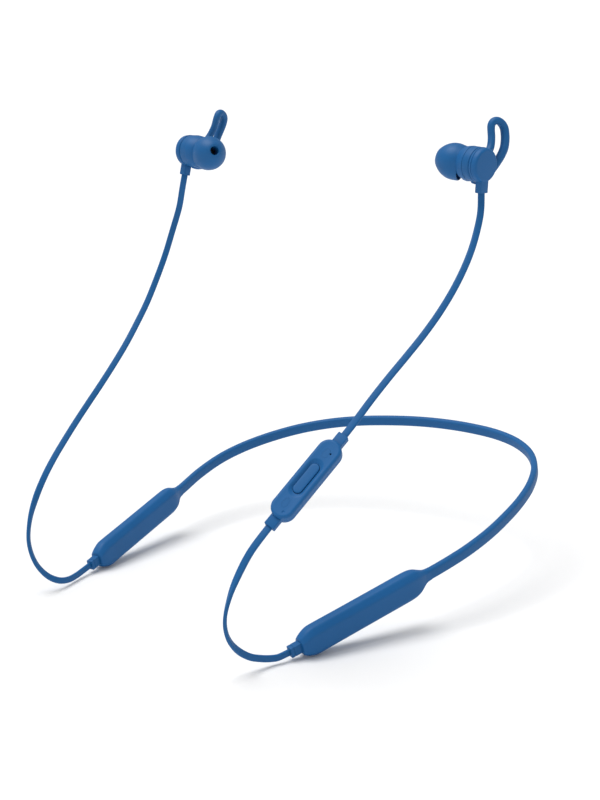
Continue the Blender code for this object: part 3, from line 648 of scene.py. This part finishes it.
def pod_case(name, side):
    """The pod with a tail that runs on down the band behind it, its frame, and which way along the frame's
    y is towards the wearer."""
    place = pod_frame(side)
    route = [in_band_plane(*point) for point in BAND_ROUTE]
    band = smooth_path(route if side == 1 else route[::-1], 0.5)
    lean = place.inverted() @ band[0] - Vector((POD_LENGTH, 0, 0))
    band_slope = place.to_3x3().inverted() @ (band[2] - band[0]).normalized()
    stations = [(s, t * SHARE_SCALE, h * SHARE_SCALE) for s, t, h in POD_FRONT + POD_MIDDLE + POD_REAR]
    rings = []
    for station in smooth_path(stations, POD_SPACING):
        s = station.x
        half_tall = POD_TALL / 2 * station.y / SHARE_SCALE
        half_thick = POD_THICK / 2 * station.z / SHARE_SCALE
        upper = half_tall * (1 - POD_UPPER_BEVEL[0])
        upper_in = half_thick * (1 - POD_UPPER_BEVEL[1])
        lower = half_tall * (1 - POD_LOWER_BEVEL[0])
        lower_in = half_thick * (1 - POD_LOWER_BEVEL[1])
        corners = [
            (half_thick, upper), (upper_in, half_tall), (-upper_in, half_tall), (-half_thick, upper),
            (-half_thick, -lower), (-lower_in, -half_tall), (lower_in, -half_tall), (half_thick, -lower),
        ]
        tall_reach, thick_reach = POD_ROUNDING_REACHES
        radius = POD_ROUNDING * min(half_tall * tall_reach, half_thick * thick_reach)
        section = even_outline(rounded_polygon(corners, radius, 6), POD_RING_POINTS)
        behind = max(0.0, s - POD_TAIL_START)
        drift = min(1.0, behind / (POD_LENGTH - POD_TAIL_START)) ** 2
        over = max(0.0, s - POD_LENGTH)
        shift = Vector((0, lean.y, lean.z)) * drift + Vector((0, band_slope.y, band_slope.z)) * over
        rings.append([Vector((s, y, z)) + shift for y, z in section])
    item = raw_object(name, skin_rings(rings))
    inner = 1 if -place.translation.x * place.to_3x3().col[1].x > 0 else -1
    return item, place, inner


def drilled(item, place, profile, count=48):
    """Cuts a turned hole into an object along the x axis of a frame."""
    tool = raw_object("tool", lathe(profile, count))
    tool.data.transform(place)
    if place.determinant() < 0:
        tool.data.flip_normals()
    return combine(item, tool, "DIFFERENCE")


def fit_controls(item, place, inner):
    """The left pod's socket, and on the side that faces the wearer its power button and lamp hole."""
    slot_outline = pill(*PORT_HALF_SIZE, 12)
    rings = [[(PORT_PLACE + x, y, z) for x, y in slot_outline] for z in PORT_HEIGHTS]
    combine(item, raw_object("port", skin_rings(rings)), "DIFFERENCE")
    face = POD_THICK / 2 * inner
    into = Vector((0, -inner, 0))
    facing = frame_at(Vector((BUTTON_PLACE, face, BUTTON_HEIGHT)), into, Vector((0, 0, 1)))
    drilled(item, facing, BUTTON_WELL)
    lens = frame_at(Vector((LENS_PLACE, face, BUTTON_HEIGHT)), into, Vector((0, 0, 1)))
    drilled(item, lens, LENS_HOLE, 24)
    button = raw_object("power_button_cap", lathe(softened(BUTTON_PROFILE, BUTTON_SOFT), 64))
    piece(button, "power_button", "key", ["power_button"], place @ facing)


def make_pods():
    for name, side in (("left", 1), ("right", -1)):
        item, place, inner = pod_case(f"{name}_pod_case", side)
        if side == 1:
            fit_controls(item, place, inner)
        shells = [f"{name}_pod_outer_shell", f"{name}_pod_inner_shell"]
        piece(item, f"{name}_arm", "case", shells, place, 28)
        sleeve(f"{name}_pod_relief", f"{name}_arm", [f"{name}_pod_cable_sleeve"], place, *POD_SLEEVE)


# Strain reliefs

def sleeve(name, body, replaced, place, half_y, half_z, length, line=0.0):
    """A squarish moulded block round the cable, with a fine line at a distance from its mouth when one is
    given. Its x runs back into what holds it."""
    stations = [(SLEEVE_ROOT, 0.0)]
    if line:
        stations += [(line - length + along, grow) for along, grow in SLEEVE_LINE]
    stations += [(along - length, grow) for along, grow in SLEEVE_MOUTH]
    rings = []
    for s, grow in stations:
        section = rounded_box(half_y + grow, half_z + grow, SLEEVE_ROUNDING, 5)
        rings.append([(s, y, z) for y, z in section])
    item = raw_object(name, skin_rings(rings))
    piece(item, body, "cover", replaced, place, 30)


# Remote

STRAIGHT_STEPS = 12


def pill(half_length, half_width, steps=20, middle=0.0):
    """A stadium outline with the long way along x, evenly divided so that outlines of any size match."""
    straight = half_length - half_width
    points = []
    for centre, start in ((straight, -90), (-straight, 90)):
        for k in range(steps + 1):
            angle = math.radians(start + 180 * k / steps)
            points.append((middle + centre + half_width * math.cos(angle), half_width * math.sin(angle)))
        for k in range(1, STRAIGHT_STEPS):
            along = centre - 2 * centre * k / STRAIGHT_STEPS
            points.append((middle + along, half_width if start == -90 else -half_width))
    return points


def pill_rings(layers, half_length, half_width, middle=0.0):
    """Stadium rings from (height, drawn in) pairs."""
    rings = []
    for z, inset in layers:
        outline = pill(half_length - inset, half_width - inset, middle=middle)
        rings.append([(x, y, z) for x, y in outline])
    return rings


def arc_layers(z_start, z_end, inset_start, inset_end, steps=7):
    """Layers along a quarter round, leaving upright and arriving level."""
    layers = []
    for k in range(steps + 1):
        angle = math.pi / 2 * k / steps
        layers.append((
            z_start + (z_end - z_start) * math.sin(angle),
            inset_start + (inset_end - inset_start) * (1 - math.cos(angle)),
        ))
    return layers


# Depth under the face, half length and half width of the dish round the centre key
DISH = [
    (0.0, 7.75, 2.85), (0.02, 7.58, 2.68), (0.1, 7.4, 2.52), (0.46, 6.55, 2.06), (0.6, 6.28, 1.92),
    (0.64, 6.1, 1.8),
]
DISH_FLOOR = 0.66
# (height, drawn in) pairs: the parting line beside either cover, and the tops of the keys
PARTING = [(0.03, 0.25), (0.03, 0.06), (0.1, 0.0)]
CENTRE_KEY_DROP = 0.24
CENTRE_KEY_TOP = [(-0.3, 0.0), (-0.16, 0.03), (-0.05, 0.12), (0, 0.3), (0.02, 0.6), (0.03, 1.1)]
VOLUME_KEY_DROP = 0.01
VOLUME_KEY_TOP = [(-0.06, 0.0), (0, 0.03), (0, 0.3)]
MICROPHONE_PLACE = 11.0
DIMPLE_PLACE = -13.3
# (depth, radius) profiles
MICROPHONE_HOLE = [(-1, 0), (-1, 0.38), (0.03, 0.32), (1.6, 0.3), (1.6, 0)]
DIMPLE = [(-1, 0), (-1, 0.55), (0.0, 0.5), (0.1, 0.4), (0.17, 0.22), (0.19, 0)]


def key_cap(name, size, drop, top_layers, middle=0.0):
    """A stadium key of a half length and half width, its top so far below the remote's face."""
    face = REMOTE_THICK / 2
    top = face - drop
    layers = [(face - KEY_ROOT, 0.0)] + [(top + z, inset) for z, inset in top_layers]
    return raw_object(name, skin_rings(pill_rings(layers, *size, middle)))


def make_remote():
    place = remote_frame()
    half = REMOTE_THICK / 2
    size = (REMOTE_LENGTH / 2, REMOTE_WIDE / 2)
    # front cover: up the side, over the edge and a faint raised rim, in to the dish and down the key's gap
    rings = pill_rings(PARTING, *size)
    rings += pill_rings(arc_layers(half - 1.0, half - 0.02, 0.0, 0.85), *size)
    rings += pill_rings([(half, 0.95), (half - 0.01, 1.06)], *size)
    for depth, dish_length, dish_width in DISH:
        rings += pill_rings([(half - 0.01 - depth, 0.0)], dish_length, dish_width)
    rings += pill_rings([(half - DISH_FLOOR, -KEY_GAP), (half - WELL_DEPTH, -KEY_GAP)], *CENTRE_KEY)
    front = raw_object("remote_front_case", skin_rings(rings))
    for middle in (VOLUME_KEY_PLACE, -VOLUME_KEY_PLACE):
        rings = pill_rings([(half - WELL_DEPTH, 0), (half + 1, 0)], *VOLUME_HOLE, middle)
        combine(front, raw_object("hole", skin_rings(rings)), "DIFFERENCE")
    for x, profile in ((MICROPHONE_PLACE, MICROPHONE_HOLE), (DIMPLE_PLACE, DIMPLE)):
        spot = frame_at(Vector((x, SPOT_SIDE, half)), Vector((0, 0, -1)), Vector((1, 0, 0)))
        drilled(front, spot, profile, 24)
    piece(front, "left_arm", "case", ["remote_front_cover"], place, 32)
    # back cover
    rings = pill_rings([(-z, inset) for z, inset in PARTING], *size)
    rings += pill_rings(arc_layers(-half + 1.5, -half, 0.0, 1.3), *size)
    rings += pill_rings([(-half, 1.9)], *size)
    back = raw_object("remote_back_case", skin_rings(rings))
    piece(back, "left_arm", "case", ["remote_back_cover"], place, 32)
    # keys
    centre = key_cap("centre_key_cap", CENTRE_KEY, CENTRE_KEY_DROP, CENTRE_KEY_TOP)
    piece(centre, "centre_button", "key", ["centre_button"], place)
    for name, middle in (("volume_up", VOLUME_KEY_PLACE), ("volume_down", -VOLUME_KEY_PLACE)):
        item = key_cap(name + "_key_cap", VOLUME_KEY, VOLUME_KEY_DROP, VOLUME_KEY_TOP, middle)
        piece(item, name + "_key", "key", [name + "_key"], place)
    for name, way in (("upper", 1), ("lower", -1)):
        mouth = place @ Vector((way * size[0], 0, 0))
        holder = frame_at(mouth, place.to_3x3().col[0] * -way, REMOTE_FACE)
        sleeve(f"remote_{name}_relief", "left_arm", [f"remote_{name}_sleeve"], holder, *REMOTE_SLEEVE)


# Earbuds

# Outlines and rings are (along, radius); the SOFT lists are the roundings of an outline's corners
CAP_PROFILE = [
    (0, 0), (0, 5.2), (0.46, 5.72), (1.0, 5.92), (2.08, 6.0), (2.15, 5.9), (2.19, 5.6), (2.19, 0),
]
CAP_SOFT = [0, 0.22, 0.3, 0.4, 0.08, 0, 0, 0]
# The housing's skin, from the cap's back outside to the nozzle and back inside. The barrel and the hollow
# are along the cap's axis, the nozzle is along the tip's, and a bend joins them.
BARREL_RINGS = [
    (2.2, 5.6), (2.2, 5.98), (2.26, 6.06), (2.8, 6.07), (2.9, 6.0), (2.96, 5.8), (3.26, 5.8), (3.28, 5.1),
    (6.5, 5.1), (6.5, 5.93), (6.28, 6.03), (6.3, 6.06), (6.4, 6.08), (6.7, 6.08),
]
BEND_START_RADIUS = 6.05
BEND_END_RADIUS = 5.45
BEND_STEPS = 8
NOZZLE_RINGS = [
    (-1.8, 5.34), (-1.72, 5.24), (-1.7, 5.0), (-2.6, 4.7), (-2.5, 2.9), (0.5, 2.6), (0.7, 2.5), (3.4, 2.5),
    (3.8, 2.8), (4.4, 2.8), (4.7, 2.5), (4.8, 2.1), (4.8, 1.7), (-3.0, 1.7), (-3.3, 3.6),
]
HOLLOW_RINGS = [(6.0, 4.2), (2.2, 4.2)]
TIP_SKIN = [
    (0.02, 5.82, 0), (-0.02, 6.0, 0), (0.18, 6.14, 0), (1.3, 6.3, 0), (2.9, 6.42, 0), (4.7, 6.16, 0),
    (6.3, 5.5, 0), (7.6, 4.62, 0), (8.7, 3.55, 0), (9.3, 2.75, 0), (9.58, 2.15, 0), (9.5, 1.8, 0),
    (9.1, 1.62, 0), (8.6, 1.6, 0),
]
TIP_INSIDE = [
    (5.5, 1.6), (5.2, 3.1), (0.8, 3.1), (0.8, 3.9), (6.0, 3.9), (5.8, 4.6), (4.6, 5.2), (3.0, 5.6),
    (1.4, 5.74),
]
RING_PROFILE = [
    (3.3, 5.3), (3.3, 5.75), (3.45, 5.98), (4.0, 6.05), (6.1, 6.05), (6.3, 6.0), (6.4, 5.8), (6.42, 5.3),
]
RING_SOFT = [0, 0.12, 0.2, 0.4, 0.1, 0.1, 0.05, 0]
RING_BORE = [(0, 0), (0, 5.25), (12, 5.25), (12, 0)]
LOOP_STRETCH = 1.13            # the loop's tube is this much wider than it is thick
WING_VOXEL = 0.17
WING_RELAX = 6


def nozzle_frame(bud):
    return frame_at(bud["tip"], bud["tip_way"], Vector((0, 0, 1)))


def ring_about(place, along, radius, count=96):
    """A ring of points round the x axis of a frame."""
    ring = []
    for k in range(count):
        angle = 2 * math.pi * k / count
        ring.append(place @ Vector((along, radius * math.cos(angle), radius * math.sin(angle))))
    return ring


def bud_barrel(prefix, bud):
    """A hollow barrel behind the cap that bends towards the ear canal and ends in the nozzle."""
    place = bud_frame(bud)
    nozzle = nozzle_frame(bud)
    start = place @ Vector((BARREL_RINGS[-1][0], 0, 0))
    end = nozzle @ Vector((NOZZLE_RINGS[0][0], 0, 0))
    reach = (end - start).length / 3
    handles = (start, start + place.to_3x3().col[0] * reach, end - nozzle.to_3x3().col[0] * reach, end)
    rings = [ring_about(place, along, radius) for along, radius in BARREL_RINGS]
    for k in range(1, BEND_STEPS):
        t = k / BEND_STEPS
        a, b, c = (handles[i].lerp(handles[i + 1], t) for i in range(3))
        centre = a.lerp(b, t).lerp(b.lerp(c, t), t)
        bend = frame_at(centre, b.lerp(c, t) - a.lerp(b, t), Vector((0, 0, 1)))
        radius = BEND_START_RADIUS + (BEND_END_RADIUS - BEND_START_RADIUS) * t ** 2
        rings.append(ring_about(bend, 0, radius))
    rings += [ring_about(nozzle, along, radius) for along, radius in NOZZLE_RINGS]
    rings += [ring_about(place, along, radius) for along, radius in HOLLOW_RINGS]
    bm = skin_rings([*rings, rings[0]], False, False)
    bmesh.ops.remove_doubles(bm, verts=bm.verts, dist=1e-6)
    return raw_object(f"{prefix}_bud_barrel", bm)


def wing(prefix, place):
    """The silicone ring and its loop as one skin, with soft fillets where they meet."""
    back = 1 if place.to_3x3().col[1].y > 0 else -1
    centre_line = smooth_path([(x, back * y, z, w) for x, y, z, w in WING_ROUTE], 0.5)
    samples = [Vector(p[:3]) for p in centre_line]
    widths = [p[3] for p in centre_line]
    angles = [2 * math.pi * k / 24 for k in range(24)]
    section = [(LOOP_STRETCH * math.cos(angle), math.sin(angle)) for angle in angles]
    loop = raw_object("loop", ribbon(samples, [(0, (1, 0, 0)), (1, (1, 0, 0))], section, widths))
    ring = raw_object(f"{prefix}_wing_skin", lathe(softened(RING_PROFILE, RING_SOFT, 4), 96))
    combine(ring, loop, "UNION")
    remesh = ring.modifiers.new("remesh", "REMESH")
    remesh.mode = "VOXEL"
    remesh.voxel_size = WING_VOXEL
    relax = ring.modifiers.new("relax", "SMOOTH")
    relax.factor = 0.5
    relax.iterations = WING_RELAX
    baked(ring)
    combine(ring, raw_object("bore", lathe(RING_BORE, 96)), "DIFFERENCE")
    piece(ring, f"{prefix}_ear_wing", "silicone", [f"{prefix}_ear_wing"], place, 60)


def make_bud(prefix, bud):
    place = bud_frame(bud)
    arm = f"{prefix}_arm"
    cap = raw_object(f"{prefix}_cap_plate", lathe(softened(CAP_PROFILE, CAP_SOFT), 128))
    piece(cap, arm, "case", [f"{prefix}_bud_cap"], place, 40)
    body = bud_barrel(prefix, bud)
    piece(body, arm, "case", [f"{prefix}_bud_housing"], None, 40)
    skin = [(p.x, p.y) for p in smooth_path(TIP_SKIN, TIP_SPACING)]
    tip = raw_object(f"{prefix}_tip_skin", lathe(skin + TIP_INSIDE, 128))
    piece(tip, f"{prefix}_ear_tip", "silicone", [f"{prefix}_ear_tip"], nozzle_frame(bud), 50)
    wing(prefix, place)
    sleeve(
        f"{prefix}_bud_relief", arm, [f"{prefix}_bud_cable_sleeve"], bud_sleeve_frame(bud),
        bud["sleeve_half"], BUD_SLEEVE_HALF_HEIGHT, BUD_SLEEVE_LENGTH,
    )


# Floor and light

# How far out the floor is flat and how it rises beyond, in metres
FLOOR_RINGS = ((1.2, 0.0), (1.8, 0.012), (2.6, 0.05), (4.0, 0.15), (12.0, 2.2))
FLOOR_GAP = 0.0003             # under the object
FLOOR_SHADE = 0.86
SURROUND_STRENGTH = 0.5
LAMP_STRENGTH = 2.5
LAMP_SPREAD = math.radians(40)
LAMP_WAY = Vector((-0.22, -0.20, 0.95))


def make_stage():
    """A pale round floor that rises far out, so that it fills the view."""
    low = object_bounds()[0].z - FLOOR_GAP
    rings = []
    for reach, rise in FLOOR_RINGS:
        spokes = [2 * math.pi * k / 96 for k in range(96)]
        rings.append([(reach * math.cos(angle), reach * math.sin(angle), low + rise) for angle in spokes])
    bm = skin_rings(rings, True, False)
    bmesh.ops.recalc_face_normals(bm, faces=bm.faces)
    mesh = bpy.data.meshes.new("floor")
    bm.to_mesh(mesh)
    bm.free()
    for polygon in mesh.polygons:
        polygon.use_smooth = True
    floor = bpy.data.objects.new("floor", mesh)
    bpy.context.scene.collection.objects.link(floor)
    material = bpy.data.materials.new("floor_white")
    material.use_nodes = True
    shader = material.node_tree.nodes["Principled BSDF"]
    shader.inputs["Base Color"].default_value = (FLOOR_SHADE, FLOOR_SHADE, FLOOR_SHADE, 1)
    shader.inputs["Roughness"].default_value = 0.9
    shader.inputs["Specular IOR Level"].default_value = 0.05
    mesh.materials.append(material)


def make_light():
    """A wide soft lamp nearly overhead, a little to the wearer's right and front, and a white surround."""
    bpy.context.scene.view_settings.view_transform = "Standard"
    world = bpy.data.worlds.new("studio")
    bpy.context.scene.world = world
    world.use_nodes = True
    background = world.node_tree.nodes["Background"]
    background.inputs["Color"].default_value = (1, 1, 1, 1)
    background.inputs["Strength"].default_value = SURROUND_STRENGTH
    data = bpy.data.lights.new("soft_lamp", "SUN")
    data.energy = LAMP_STRENGTH
    data.angle = LAMP_SPREAD
    lamp = bpy.data.objects.new("soft_lamp", data)
    lamp.rotation_mode = "QUATERNION"
    lamp.rotation_quaternion = LAMP_WAY.to_track_quat("Z", "Y")
    bpy.context.scene.collection.objects.link(lamp)


make_camera()
make_cables()
for side in (1, -1):
    band_half(side)
make_pods()
make_remote()
for prefix, bud in BUDS.items():
    make_bud(prefix, bud)
finish_cad_nodes()
make_stage()
make_light()
